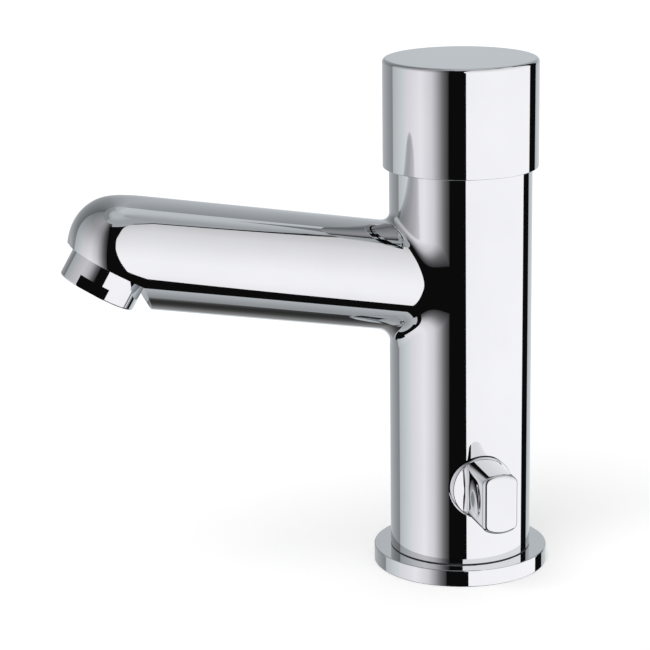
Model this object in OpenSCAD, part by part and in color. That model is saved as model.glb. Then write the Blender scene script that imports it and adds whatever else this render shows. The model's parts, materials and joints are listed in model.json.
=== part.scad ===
// Push timed mixing tap: a round column on a base flange, a wide push cap, a rising round spout with a
// bull nose, a tilted outlet ring and a bar-shaped temperature knob. The origin is the centre of the base
// on the deck, the spout points along -Y and the knob along +X. All sizes are in millimetres.

/* [Column] */
// Outer diameter of the column
column_d = 44; // [42:0.5:48]
// Wall of the column round the timed cartridge
column_wall = 5; // [4:0.25:6]
// Small bevel that draws the seam at the foot of the column
seam_bevel = 0.35; // [0.2:0.05:0.6]

/* [Base] */
// How far the base flange stands out past the column
flange_rim = 5.25; // [4:0.25:10]
// Thickness of the base flange
flange_h = 5.3; // [4.5:0.1:8]
// Bevel on the rim of the base flange
flange_bevel = 0.3; // [0.1:0.1:0.6]
// Step from the column in to the spigot that sits in the flange
spigot_step = 3.5; // [2.5:0.25:4.5]
// Height of the spigot's end above the deck
spigot_lift = 1.5; // [0.5:0.1:2.5]
// Wall of the spigot round the hose space
spigot_wall = 1.7; // [1.4:0.1:2.5]
// Height of the hose space's ceiling above the deck
hose_space_h = 14; // [12:0.5:15]
// Radial width of the gasket under the flange
gasket_w = 4; // [3:0.25:5]
// Height of the gasket under the flange
gasket_h = 1.6; // [1:0.1:2.2]

/* [Push cap] */
// Height of the cap's lower edge above the deck, with the cap up
cap_z = 127.1; // [126:0.5:140]
// Height of the push cap
cap_h = 33.3; // [30:0.1:38]
// Wall of the cap's skirt
cap_wall = 1.55; // [1.2:0.05:3]
// Thickness of the cap's roof
cap_roof = 2.5; // [2:0.1:4]
// Rounding of the cap's upper edge
cap_edge_r = 1.2; // [0.6:0.1:1.8]
// Gap between the cap's skirt and the column
cap_clear = 0.35; // [0.25:0.05:0.6]
// Travel of the push cap
cap_stroke = 6; // [4:0.25:7]
// Room that is left under the cap's core when the cap is fully down
stop_gap = 1.4; // [0.6:0.1:2]
// Thickness of the core inside the cap
core_h = 4.5; // [4.2:0.1:6]
// Diameter of the cap's set screw
cap_screw_d = 4; // [3:0.5:4]

/* [Spout] */
// Outer diameter of the spout
spout_d = 33.5; // [30:0.5:35]
// Wall of the spout round the waterway
spout_wall = 3.3; // [2.5:0.1:4]
// Height at which the spout's axis leaves the column's axis
spout_z = 90.4; // [88:0.2:96]
// Rise of the spout in degrees
spout_rise = 9.4; // [0:0.2:12]
// Length of the spout from the column's axis to its tip
spout_len = 123.2; // [110:0.2:150]
// Rounding of the spout's nose
nose_r = 13.7; // [11:0.1:14.5]
// Length of the blend along the spout, above it
blend_leg_top = 3.6; // [3:0.1:4.5]
// Length of the blend along the spout, at its two sides
blend_leg_side = 5; // [4.4:0.1:6]
// Length of the blend along the spout, below it
blend_leg_bottom = 7; // [5:0.1:8]
// Height of the blend on the column, above the spout
blend_rise = 3.6; // [3:0.1:4.5]
// Depth of the blend on the column, below the spout
blend_drop = 6.5; // [5:0.1:8]
// How much wider than the spout the blend is where it meets the column's two sides
blend_widening = 3.3; // [2.8:0.1:3.8]

/* [Outlet] */
// Tilt of the outlet's axis forward of straight down, in degrees
outlet_tilt = 29.9; // [24:0.1:32]
// Distance of the outlet seat's centre back from the spout's tip
outlet_setback = 13; // [12:0.1:14]
// Distance of the outlet seat's centre below the spout's axis
outlet_drop = 4.7; // [4:0.1:6]
// Diameter of the outlet ring
aerator_d = 24; // [23:0.1:25]
// Height of the outlet ring
aerator_h = 9; // [8.4:0.1:10]
// Width across the outlet ring's two wrench flats
aerator_flats = 22; // [21.5:0.1:22.5]
// Height of the wrench flats, up from the ring's lower rim
aerator_flat_h = 3.6; // [3.2:0.1:4.4]
// Turn of the screwed-on ring, in degrees
aerator_turn = 23; // [0:1:90]
// Wall of the outlet ring round the threaded nipple
aerator_wall = 1.1; // [0.8:0.05:1.3]
// Gap round the outlet ring in its spot-faced seat
seat_gap = 5.2; // [4.8:0.1:5.8]
// Length of the threaded nipple inside the ring
nipple_h = 5; // [4:0.1:5.4]
// Wall of the threaded nipple
nipple_wall = 2.4; // [2:0.1:3]
// Thickness of the outlet's flat washer
washer_h = 1.2; // [0.8:0.1:1.4]
// Thickness of the outlet insert's collar
collar_h = 1; // [0.8:0.1:1.1]

/* [Temperature knob] */
// Height of the knob's axis above the deck
knob_z = 30.4; // [29:0.2:34]
// Diameter of the knob's disc
knob_d = 19.6; // [18:0.1:20]
// Diameter across the round ends of the knob's bar
knob_bar_d = 18.9; // [16:0.1:19]
// Width of the knob's bar
knob_bar_w = 11; // [9:0.25:12]
// Length of the knob's bar, out from the disc
knob_bar_len = 16.7; // [13:0.1:20]
// How far the disc's front face stands out of the column
knob_disc_out = 1.3; // [0.8:0.1:2]
// Depth of the knob's recess in the column
knob_sink = 3.7; // [3.4:0.1:4.5]
// Rounding of the bar's front edge
knob_edge_r = 0.8; // [0.4:0.1:1.5]
// Rounding of the bar's four long edges
knob_corner_r = 1.5; // [0.8:0.1:2.2]
// Rounding of the disc's front edge
knob_disc_edge_r = 0.5; // [0.2:0.1:0.9]
// Fillet where the bar meets the disc
knob_foot_r = 1; // [0.5:0.1:2]
// Depth of the finger dimple in each side of the bar
dimple_depth = 1; // [0.6:0.1:1.3]
// Length of the finger dimple along the bar
dimple_len = 10; // [8:0.5:11]
// Height of the finger dimple
dimple_h = 13; // [11:0.5:14]
// Gap between the knob's skirt and its recess
knob_gap = 0.3; // [0.2:0.05:0.5]
// Diameter of the knob's set screw
knob_screw_d = 4; // [3:0.5:4]

/* [Mixing valve] */
// Diameter of the mixing spindle
spindle_d = 8; // [7:0.25:9]
// Diameter of the mixing drum
drum_d = 15.8; // [14.5:0.1:16.5]
// Length of the mixing drum
drum_len = 23; // [21:0.5:24]
// Wall of the mixing drum
drum_wall = 2; // [1.5:0.1:2.5]
// Diameter of the gland bush
gland_d = 18; // [17:0.1:18.5]
// Length of the gland bush
gland_len = 8; // [7:0.25:9]
// Diameter of the inlet holes, the tapping size of a 10 mm fine thread
inlet_d = 9; // [8.5:0.1:10]
// Depth of the inlet holes
inlet_depth = 7; // [5:0.25:7.5]
// Distance between the two inlets
inlet_spacing = 16; // [14:0.5:17]
// Diameter of the fixing holes, the tapping size of a 6 mm stud
stud_hole_d = 5; // [4:0.1:5]
// Depth of the fixing holes
stud_hole_depth = 9; // [6:0.5:12]
// Distance between the two fixing holes
stud_spacing = 25; // [24:0.5:26]

/* [Timed cartridge] */
// Height of the shoulder that the cartridge's seat rests on
shoulder_z = 70; // [66:0.5:72]
// Depth of the valve chamber under the shoulder
chamber_depth = 20; // [18:0.5:22]
// Wall of the cartridge sleeve
sleeve_wall = 2.6; // [2.2:0.1:3]
// Thickness of the sleeve's bottom plate
plate_h = 3.5; // [3:0.1:5]
// Height of the timing chamber above the piston
timing_h = 21; // [16:0.5:24]
// Height of the timing piston
piston_h = 8; // [7:0.25:9]
// Diameter of the stem where it slides in the head nut
stem_d = 8; // [7.5:0.25:9]
// Diameter of the stem below the piston's shoulder
stem_tail_d = 6; // [5:0.25:6.5]
// Diameter of the valve washer
washer_d = 16; // [15:0.25:17]
// Thickness of the valve washer
valve_washer_h = 4; // [3:0.25:5]
// Depth of the head nut's thread in the body
nut_depth = 10; // [9:0.25:12]
// Height of the head nut's collar on top of the body
nut_collar_h = 3; // [2:0.25:3.5]
// Floor of the head nut under the return spring
nut_floor = 4; // [3:0.25:5]
// Wire diameter of the return spring
spring_wire = 1.6; // [1.2:0.1:1.7]
// Mean diameter of the return spring
spring_d = 19.4; // [18.8:0.1:20.6]
// Turns of the return spring
spring_turns = 4.25; // [3:0.25:4.25]

/* [Hidden] */
$fn = 96;

// Colours of the photographed finish and of the pieces inside
chrome = [0.80, 0.81, 0.83];
brass = [0.78, 0.62, 0.32];
steel = [0.62, 0.63, 0.65];
black_rubber = [0.10, 0.10, 0.11];
white_plastic = [0.90, 0.90, 0.88];
grey_plastic = [0.45, 0.47, 0.50];

// Overshoot of a cut past the face that it opens
cut = 1;
// Running gap of a shaft, a drum or a lip in its bore
run_gap = 0.06;
// Gap of a piece that is held still in its seat
seat_fit = 0.05;

// Column, flange and spigot
column_r = column_d / 2;
flange_r = column_r + flange_rim;
spigot_r = column_r - spigot_step;
hose_space_r = spigot_r - spigot_wall;
flange_bore_r = spigot_r + seat_fit;
gasket_mid_r = (flange_bore_r + flange_r) / 2;
bore_r = column_r - column_wall;

// Push cap and the stack of pieces under its roof
cap_in_r = column_r + cap_clear;
cap_r = cap_in_r + cap_wall;
cap_top = cap_z + cap_h;
roof_z = cap_top - cap_roof;
core_z = roof_z - core_h;
nut_top = core_z - cap_stroke - stop_gap;
body_top = nut_top - nut_collar_h;
body_top_bevel = 0.8;
cap_screw_z = core_z + core_h / 2;
cap_screw_len = 5;
cap_screw_sink = 0.3;
socket_depth = 2.2;
guide_h = 4;
guide_depth = 1.2;
guide_z = body_top - 2 * guide_depth - guide_h;

// Cartridge, from the nut down to the valve
stem_r = stem_d / 2;
stem_bore_r = stem_r + run_gap;
stem_tail_r = stem_tail_d / 2;
nut_z = body_top - nut_depth;
nut_floor_z = nut_z + nut_floor;
nut_collar_rim = 3.5;
nut_collar_r = bore_r + nut_collar_rim;
nut_slot_w = 4;
well_wall = 3.8;
well_r = bore_r - well_wall;
boss_wall = 2.2;
boss_r = stem_bore_r + boss_wall;
hub_wall = 3;
hub_r = stem_r + hub_wall;
hub_h = 5;
hub_z = core_z - hub_h;
hub_gap = 0.4;
boss_z = min(hub_z - cap_stroke - hub_gap, body_top);
seal_wire_r = 0.93;
seal_z = (nut_floor_z + boss_z) / 2;
sleeve_gap = 0.15;
sleeve_r = bore_r - sleeve_gap;
sleeve_in_r = sleeve_r - sleeve_wall;
o_ring_r = 0.9;
seat_seal_r = 1;
sleeve_z = shoulder_z + 2 * seat_seal_r;
plate_top = sleeve_z + plate_h;
piston_top = nut_z - timing_h;
piston_z = piston_top - piston_h;
piston_gap = 0.25;
piston_r = sleeve_in_r - piston_gap;
clip_h = 1.2;
clip_rim = 2;
clip_r = stem_tail_r + clip_rim;
clip_bite = 0.4;
window_gap = 3;
window_z = plate_top + window_gap;
window_top = piston_z - clip_h - cap_stroke - window_gap;
window_w = 12;
sleeve_ring_lift = 6;
sleeve_ring_z = piston_top + sleeve_ring_lift;
lip_lift = 2;
lip_z = piston_z + lip_lift;
lip_h = 3.5;
lip_depth = 2.6;
needle_r = 1.5;
needle_head_r = 2.4;
needle_head_h = 1.6;
needle_slot_w = 0.75;
needle_x = (stem_r + piston_r - lip_depth) / 2;
washer_r = washer_d / 2;
seat_cover = 2.5;
seat_hole_r = washer_r - seat_cover;
seat_rim = 1;
seat_r = washer_r + seat_rim;
seat_lip_w = 1.5;
washer_top = shoulder_z - seat_fit;
washer_nut_h = 4.5;
washer_nut_wall = 1.5;
washer_nut_flats = stem_tail_d + 2 * washer_nut_wall;
washer_nut_z = washer_top - valve_washer_h - washer_nut_h;
stem_tip = 1;
stem_end_z = washer_nut_z - stem_tip;
stem_cover = 1.5;
stem_top = core_z + core_h - stem_cover;
chamber_z = shoulder_z - chamber_depth;
chamber_gap = 2.5;
chamber_r = washer_r + chamber_gap;

// Return spring, from the nut's floor to the underside of the cap's core
spring_r = spring_d / 2;
wire_r = spring_wire / 2;
spring_z = nut_floor_z + wire_r + seat_fit;
spring_rise = core_z - wire_r - seat_fit - spring_z;
spring_turn_steps = 12;
spring_steps = ceil(spring_turns * spring_turn_steps);
spring_sides = 8;

// Spout and outlet
spout_r = spout_d / 2;
waterway_r = spout_r - spout_wall;
seat_at = spout_len - outlet_setback;
aerator_r = aerator_d / 2;
nipple_r = aerator_r - aerator_wall;
outlet_bore_r = nipple_r - nipple_wall;
spot_r = aerator_r + seat_gap;
// The wide waterway stops before the spot-faced seat, and a narrower throat leads on to the outlet
throat_lead = 8;
waterway_end = seat_at - spot_r - throat_lead;
throat_rim = 0.5;
throat_r = outlet_bore_r + throat_rim;
throat_lift = 3;
throat_past = 2;
throat_end = spout_len - nose_r + throat_past;
washer_hole_gap = 0.1;
washer_hole_r = outlet_bore_r + washer_hole_gap;
collar_z = nipple_h + washer_h;
lip_gap = 0.7;
lip_inner_r = outlet_bore_r + lip_gap;
insert_gap = 0.2;
insert_r = outlet_bore_r - insert_gap;
insert_z = 1.2;
insert_wall = 1.2;
screen_h = 0.4;
grid_pitch = 3.2;
grid_hole = 2.3;
grid_count = 2;
grid_h = 2.2;
aerator_bevel = 0.5;

// Knob and mixing valve, along the knob's axis
knob_r = knob_d / 2;
knob_bar_r = knob_bar_d / 2;
recess_x = column_r - knob_sink;
recess_r = knob_r + knob_gap;
disc_x = column_r + knob_disc_out;
knob_front_x = disc_x + knob_bar_len;
knob_back_x = recess_x + knob_gap;
spindle_r = spindle_d / 2;
spindle_hold = 8;
knob_screw_x = disc_x + spindle_hold / 2;
knob_screw_sink = 0.4;
knob_screw_len = knob_bar_r - knob_screw_sink - spindle_r - seat_fit;
dimple_equator_r = (dimple_depth * dimple_depth + dimple_len * dimple_len / 4) / (2 * dimple_depth);
dimple_arc_r = (dimple_depth * dimple_depth + dimple_h * dimple_h / 4) / (2 * dimple_depth);
// Centre of the rounding at the bar's long edges, across the bar and along it
corner_across = knob_bar_w / 2 - knob_corner_r;
corner_along = sqrt(pow(knob_bar_r - knob_corner_r, 2) - corner_across * corner_across);
// How far a rounding cutter stands off the faces that it joins, so that it crosses them and isn't tangent
round_dip = 0.02;
gland_r = gland_d / 2;
gland_x = recess_x - gland_len;
drum_r = drum_d / 2;
mixing_r = drum_r + run_gap;
end_play = 0.3;
drum_x = gland_x - end_play - drum_len;
drum_head = 4;
port_r = 2.8;
outlet_port_r = 2.1;
port_turn = 25;
riser_r = 4.5;
gland_ring_r = 0.75;
gland_ring_at = 1.6;
spindle_ring_r = 0.9;
spindle_ring_at = 4.8;

// Number of stations round the blend, and where they lie along it from the column to the spout
blend_around = 72;
blend_stations = [0, 0.26, 0.38, 0.5, 0.62, 0.74, 1];
// How far the blend's two edges dip into the column and the spout
blend_dip = 0.1;
// How far the blend spreads up and down beside the spout, and how soon that fades towards its top and bottom
blend_spread_up = 36;
blend_spread_down = 22;
blend_spread_fade = 8;
// How far the blend's hidden root lies inside the spout and the column
blend_root = 2;
// Least distance from the blend's sides to the column's widest lines, which limits the flare of a wide spout
blend_side_room = 0.8;
blend_flare = min(blend_widening, column_r - spout_r - blend_side_room);

// Direction along the spout
spout_axis = [0, -cos(spout_rise), sin(spout_rise)];

// Direction across the spout at an angle round its axis
function spout_out(a) = [cos(a), sin(a) * sin(spout_rise), sin(a) * cos(spout_rise)];

// Point outside the spout by rs and outside the column's axis by rc, at an angle round the spout
function saddle(a, rs, rc) =
    let (x = rs * cos(a))
    let (y = -sqrt(rc * rc - x * x))
    let (t = (rs * sin(a) * sin(spout_rise) - y) / cos(spout_rise))
    [x, y, spout_z + t * sin(spout_rise) + rs * sin(a) * cos(spout_rise)];

// Where the blend leaves the spout, at an angle round its axis
function blend_start(a) =
    let (pole = sin(a) > 0 ? blend_leg_top : blend_leg_bottom)
    let (leg = blend_leg_side + (pole - blend_leg_side) * pow(sin(a), 2))
    saddle(a, spout_r, column_r) + leg * spout_axis;

// Where the blend meets the column, for the same angle
function blend_end(a) =
    let (x = spout_r * cos(a) + blend_flare * pow(cos(a), 3))
    let (y = -sqrt(column_r * column_r - x * x))
    let (pole = sin(a) > 0 ? blend_rise : blend_drop)
    let (spread = sin(a) > 0 ? blend_spread_up : blend_spread_down)
    let (beside = spread * sin(a) * pow(cos(a), blend_spread_fade))
    let (over = spout_r * sin(a) / cos(spout_rise) + pole * pow(sin(a), 3) + beside)
    [x, y, spout_z - y * tan(spout_rise) + over];

// One closed section of the blend: a curve tangent to the column and to the spout, then a root inside both
function blend_section(a) =
    let (start = blend_start(a))
    let (end = blend_end(a))
    let (column_out = [end.x, end.y, 0] / column_r)
    let (corner = start + spout_axis * ((end - start) * column_out) / (spout_axis * column_out))
    let (low = end - blend_dip * column_out)
    let (high = start - blend_dip * spout_out(a))
    [
        for (s = blend_stations)
            s == 0 ? low
            : s == 1 ? high
            : pow(1 - s, 2) * end + 2 * s * (1 - s) * corner + s * s * start,
        saddle(a, spout_r - blend_root, column_r - blend_root)
    ];

// Faces of a closed tube of rings, each ring of n points
function tube_faces(rings, n, closed) = [
    for (i = [0:rings - (closed ? 1 : 2)])
        for (j = [0:n - 1])
            let (a = i * n + j, b = i * n + (j + 1) % n)
            let (c = ((i + 1) % rings) * n + j, d = ((i + 1) % rings) * n + (j + 1) % n)
            for (f = [[a, b, d], [a, d, c]]) f,
    if (!closed) for (j = [1:n - 2]) [0, j + 1, j],
    if (!closed) for (j = [1:n - 2]) (rings - 1) * n * [1, 1, 1] + [0, j, j + 1]
];

// Point on the spring's centre line, from 0 at the bottom to 1 at the top
function spring_point(s) =
    let (turn = 360 * spring_turns * s)
    [spring_r * cos(turn), spring_r * sin(turn), spring_z + spring_rise * s];

// One ring of the spring's wire
function spring_ring(s) = [
    for (k = [0:spring_sides - 1])
        let (turn = 360 * spring_turns * s, w = 360 * k / spring_sides)
        spring_point(s) + wire_r * (cos(w) * [cos(turn), sin(turn), 0] + sin(w) * [0, 0, 1])
];

// Least gap between neighbouring turns of the spring, measured between centre-line points a turn apart
spring_gap = min([
    for (i = [0:spring_steps - spring_turn_steps])
        let (low = spring_point(i / spring_steps))
        let (high = spring_point((i + spring_turn_steps) / spring_steps))
        norm(high - low) - spring_wire
]);
echo(least_gap_of_the_spring = spring_gap);

module on_spout() {
    translate([0, 0, spout_z]) rotate([90 - spout_rise, 0, 0]) children();
}

module on_outlet() {
    on_spout() translate([0, -outlet_drop, seat_at])
        rotate([90 - outlet_tilt + spout_rise, 0, 0]) children();
}

module on_knob() {
    translate([0, 0, knob_z]) rotate([0, 90, 0]) children();
}

module ring(outer, inner, h) {
    difference() {
        cylinder(r = outer, h = h);
        translate([0, 0, -cut]) cylinder(r = inner, h = h + 2 * cut);
    }
}

module o_ring(mid, wire) {
    rotate_extrude() translate([mid, 0]) circle(wire);
}

module hexagon(flats, h) {
    cylinder(d = flats / cos(30), h = h, $fn = 6);
}

module set_screw(d, length) {
    difference() {
        cylinder(d = d, h = length);
        translate([0, 0, length - socket_depth]) hexagon(d / 2, socket_depth + cut);
    }
}

module column_blank() {
    rotate_extrude() polygon([
        [0, spigot_lift],
        [spigot_r, spigot_lift],
        [spigot_r, flange_h],
        [column_r - seam_bevel, flange_h],
        [column_r, flange_h + seam_bevel],
        [column_r, guide_z],
        [column_r - guide_depth, guide_z],
        [column_r - guide_depth, guide_z + guide_h],
        [column_r, guide_z + guide_h],
        [column_r, body_top - body_top_bevel],
        [column_r - body_top_bevel, body_top],
        [0, body_top]
    ]);
}

module spout_blank() {
    on_spout() rotate_extrude() intersection() {
        square([spout_r, spout_len]);
        union() {
            square([spout_r, spout_len - nose_r]);
            square([spout_r - nose_r, spout_len]);
            translate([spout_r - nose_r, spout_len - nose_r]) circle(nose_r);
        }
    }
}

module blend() {
    sections = [for (i = [0:blend_around - 1]) blend_section(360 * (i + 0.5) / blend_around)];
    polyhedron(
        points = [for (s = sections) for (p = s) p],
        faces = tube_faces(blend_around, len(blend_stations) + 1, true)
    );
}

module water_space() {
    translate([0, 0, spigot_lift - cut]) cylinder(r = hose_space_r, h = hose_space_h - spigot_lift + cut);
    for (side = [-1, 1]) {
        translate([side * inlet_spacing / 2, 0, hose_space_h]) {
            translate([0, 0, -cut]) cylinder(d = inlet_d, h = inlet_depth + cut);
            cylinder(r = port_r, h = knob_z - hose_space_h);
        }
        translate([0, side * stud_spacing / 2, hose_space_h - cut])
            cylinder(d = stud_hole_d, h = stud_hole_depth + cut);
    }
    on_knob() translate([0, 0, drum_x - end_play])
        cylinder(r = mixing_r, h = gland_x - drum_x + end_play + cut);
    on_knob() translate([0, 0, gland_x]) cylinder(r = gland_r, h = gland_len + cut);
    on_knob() translate([0, 0, recess_x]) cylinder(r = recess_r, h = knob_sink + cut);
    translate([0, 0, knob_z]) cylinder(r = riser_r, h = chamber_z - knob_z + cut);
    translate([0, 0, chamber_z]) cylinder(r = chamber_r, h = chamber_depth + cut);
    translate([0, 0, shoulder_z]) cylinder(r = bore_r, h = body_top - shoulder_z + cut);
    on_spout() cylinder(r = waterway_r, h = waterway_end);
    on_spout() translate([0, throat_lift, waterway_end - cut])
        cylinder(r = throat_r, h = throat_end - waterway_end);
    on_outlet() translate([0, 0, -throat_r]) cylinder(r = outlet_bore_r, h = throat_r + nipple_h + cut);
}

module tap_body() {
    color(chrome) difference() {
        union() {
            difference() {
                union() {
                    column_blank();
                    spout_blank();
                    blend();
                }
                on_outlet() cylinder(r = spot_r, h = spout_d);
            }
            on_outlet() translate([0, 0, -cut]) cylinder(r = nipple_r, h = nipple_h + cut);
        }
        water_space();
    }
}

module base_flange() {
    color(chrome) difference() {
        rotate_extrude() polygon([
            [flange_bore_r, 0],
            [flange_r - flange_bevel, 0],
            [flange_r, flange_bevel],
            [flange_r, flange_h - flange_bevel],
            [flange_r - flange_bevel, flange_h],
            [flange_bore_r, flange_h]
        ]);
        translate([0, 0, -cut])
            ring(gasket_mid_r + gasket_w / 2, gasket_mid_r - gasket_w / 2, gasket_h + cut);
    }
}

module base_gasket() {
    color(black_rubber)
        ring(gasket_mid_r + gasket_w / 2 - seat_fit, gasket_mid_r - gasket_w / 2 + seat_fit, gasket_h);
}

module guide_ring() {
    color(white_plastic) translate([0, 0, guide_z])
        ring(cap_in_r - run_gap, column_r - guide_depth, guide_h);
}

module push_cap() {
    color(chrome) difference() {
        rotate_extrude() difference() {
            union() {
                translate([0, cap_z]) square([cap_r, cap_h - cap_edge_r]);
                translate([0, cap_z]) square([cap_r - cap_edge_r, cap_h]);
                translate([cap_r - cap_edge_r, cap_top - cap_edge_r]) circle(cap_edge_r);
            }
            translate([0, cap_z - cut]) square([cap_in_r, cap_h - cap_roof + cut]);
        }
        translate([0, 0, cap_screw_z]) rotate([-90, 0, 0]) cylinder(d = cap_screw_d, h = cap_r + cut);
    }
}

module cap_core() {
    color(white_plastic) difference() {
        union() {
            translate([0, 0, core_z]) cylinder(r = cap_in_r - seat_fit, h = core_h);
            translate([0, 0, hub_z]) cylinder(r = hub_r, h = hub_h + cut);
        }
        translate([0, 0, hub_z - cut]) cylinder(r = stem_r, h = stem_top - hub_z + cut);
        translate([0, cap_r - cap_screw_len, cap_screw_z]) rotate([-90, 0, 0])
            cylinder(d = cap_screw_d, h = cap_screw_len + cut);
    }
}

module cap_set_screw() {
    color(steel) translate([0, cap_r - cap_screw_len, cap_screw_z]) rotate([-90, 0, 0])
        set_screw(cap_screw_d - 2 * seat_fit, cap_screw_len - cap_screw_sink);
}

module plunger_stem() {
    color(steel) rotate_extrude() polygon([
        [0, stem_end_z],
        [stem_tail_r, stem_end_z],
        [stem_tail_r, piston_z - clip_h],
        [stem_tail_r - clip_bite, piston_z - clip_h],
        [stem_tail_r - clip_bite, piston_z],
        [stem_tail_r, piston_z],
        [stem_tail_r, piston_top],
        [stem_r, piston_top],
        [stem_r, stem_top],
        [0, stem_top]
    ]);
}

module return_spring() {
    rings = [for (i = [0:spring_steps]) spring_ring(i / spring_steps)];
    color(steel) polyhedron(
        points = [for (r = rings) for (p = r) p],
        faces = tube_faces(spring_steps + 1, spring_sides, false)
    );
}

module head_nut() {
    color(brass) difference() {
        union() {
            translate([0, 0, nut_z]) cylinder(r = bore_r, h = nut_depth);
            translate([0, 0, body_top]) cylinder(r = nut_collar_r, h = nut_collar_h);
        }
        translate([0, 0, nut_z - cut]) cylinder(r = stem_bore_r, h = nut_top - nut_z + 2 * cut);
        translate([0, 0, nut_floor_z]) ring(well_r, boss_r, nut_top - nut_floor_z + cut);
        translate([0, 0, boss_z]) cylinder(r = boss_r + cut, h = nut_top - boss_z + cut);
        translate([0, 0, seal_z]) ring(stem_bore_r + 2 * seal_wire_r, stem_bore_r - cut, 2 * seal_wire_r);
        for (turn = [0, 90])
            rotate(turn) translate([-nut_collar_r - cut, -nut_slot_w / 2, body_top + nut_collar_h / 2])
                cube([2 * nut_collar_r + 2 * cut, nut_slot_w, nut_collar_h]);
    }
}

module stem_seal() {
    color(black_rubber) translate([0, 0, seal_z + seal_wire_r])
        o_ring(stem_bore_r + seal_wire_r, seal_wire_r - seat_fit / 2);
}

module cartridge_sleeve() {
    color(white_plastic) difference() {
        translate([0, 0, sleeve_z]) cylinder(r = sleeve_r, h = nut_z - sleeve_z);
        translate([0, 0, plate_top]) cylinder(r = sleeve_in_r, h = nut_z - plate_top + cut);
        translate([0, 0, sleeve_z - cut]) cylinder(r = seat_r, h = plate_h + 2 * cut);
        translate([0, 0, sleeve_ring_z - o_ring_r])
            ring(sleeve_r + cut, bore_r - 2 * o_ring_r - seat_fit, 2 * o_ring_r);
        for (turn = [0, 90])
            rotate(turn) translate([-sleeve_r - cut, -window_w / 2, window_z])
                cube([2 * sleeve_r + 2 * cut, window_w, window_top - window_z]);
    }
}

module sleeve_o_ring() {
    color(black_rubber) translate([0, 0, sleeve_ring_z])
        o_ring(bore_r - o_ring_r - seat_fit / 2, o_ring_r - seat_fit / 2);
}

module seat_o_ring() {
    color(black_rubber) translate([0, 0, shoulder_z + seat_seal_r])
        o_ring((seat_r + bore_r) / 2, seat_seal_r - seat_fit / 2);
}

module timing_piston() {
    color(grey_plastic) difference() {
        translate([0, 0, piston_z]) cylinder(r = piston_r, h = piston_h);
        translate([0, 0, piston_z - cut]) cylinder(r = stem_tail_r, h = piston_h + 2 * cut);
        translate([0, 0, lip_z]) ring(piston_r + cut, piston_r - lip_depth, lip_h);
        translate([needle_x, 0, piston_z - cut]) cylinder(r = needle_r, h = piston_h + 2 * cut);
    }
}

module lip_seal() {
    color(black_rubber) rotate_extrude() polygon([
        [piston_r - lip_depth, lip_z],
        [piston_r - seat_fit, lip_z],
        [sleeve_in_r - run_gap, lip_z + lip_h - seat_fit],
        [sleeve_in_r - run_gap - lip_depth / 3, lip_z + lip_h - seat_fit],
        [piston_r - lip_depth / 2, lip_z + lip_h / 2],
        [piston_r - lip_depth * 2 / 3, lip_z + lip_h],
        [piston_r - lip_depth, lip_z + lip_h]
    ]);
}

module piston_clip() {
    color(steel) translate([0, 0, piston_z - clip_h]) difference() {
        ring(clip_r, stem_tail_r - clip_bite, clip_h);
        translate([0, -clip_bite, -cut]) cube([clip_r + cut, 2 * clip_bite, clip_h + 2 * cut]);
    }
}

module timing_screw() {
    color(brass) translate([needle_x, 0, 0]) difference() {
        union() {
            translate([0, 0, piston_z]) cylinder(r = needle_r, h = piston_h + cut);
            translate([0, 0, piston_top]) cylinder(r = needle_head_r, h = needle_head_h);
        }
        translate([-needle_head_r - cut, -needle_slot_w / 2, piston_top + needle_head_h / 2])
            cube([2 * needle_head_r + 2 * cut, needle_slot_w, needle_head_h]);
    }
}

module valve_seat() {
    color(steel) rotate_extrude() polygon([
        [seat_hole_r, shoulder_z],
        [seat_hole_r + seat_lip_w, shoulder_z],
        [seat_hole_r + seat_lip_w, sleeve_z],
        [seat_r, sleeve_z],
        [seat_r, plate_top],
        [seat_hole_r, plate_top]
    ]);
}

module valve_washer() {
    color(black_rubber) translate([0, 0, washer_top - valve_washer_h])
        ring(washer_r, stem_tail_r, valve_washer_h);
}

module washer_nut() {
    color(brass) translate([0, 0, washer_nut_z]) difference() {
        hexagon(washer_nut_flats, washer_nut_h);
        translate([0, 0, -cut]) cylinder(r = stem_tail_r, h = washer_nut_h + 2 * cut);
    }
}

// Turned blank with a rounded front edge, along the Z axis
module rounded_blank(r, low, high, edge) {
    rotate_extrude() union() {
        translate([0, low]) square([r, high - edge - low]);
        translate([0, low]) square([r - edge, high - low]);
        translate([r - edge, high - edge]) circle(edge);
    }
}

// Space beside the bar: its straight side, the disc's front face and the fillet between them
module bar_side() {
    linear_extrude(knob_d + 2 * cut, center = true) {
        translate([disc_x + knob_foot_r, knob_bar_w / 2]) square([knob_bar_len + cut, knob_d]);
        translate([disc_x, knob_bar_w / 2 + knob_foot_r]) square([knob_bar_len + cut, knob_d]);
        translate([disc_x + knob_foot_r, knob_bar_w / 2 + knob_foot_r]) circle(knob_foot_r);
    }
}

// Waste outside the rounding of the bar's front edge, beside one of its straight sides
module bar_front_waste() {
    linear_extrude(knob_d + 2 * cut, center = true)
        translate([knob_front_x - knob_edge_r, knob_bar_w / 2 - knob_edge_r]) difference() {
            square(knob_edge_r + cut);
            circle(knob_edge_r + round_dip);
        }
}

// Waste outside the rounding of one of the bar's long edges
module bar_corner_waste() {
    lean = atan2(corner_along, corner_across);
    reach = 2 * knob_corner_r;
    translate([disc_x + knob_foot_r, corner_across, corner_along]) rotate([90, 0, 90])
        linear_extrude(knob_bar_len) difference() {
            polygon([[0, 0], [reach, 0], [reach, reach], reach * [cos(lean), sin(lean)]]);
            circle(knob_corner_r + round_dip);
        }
}

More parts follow.
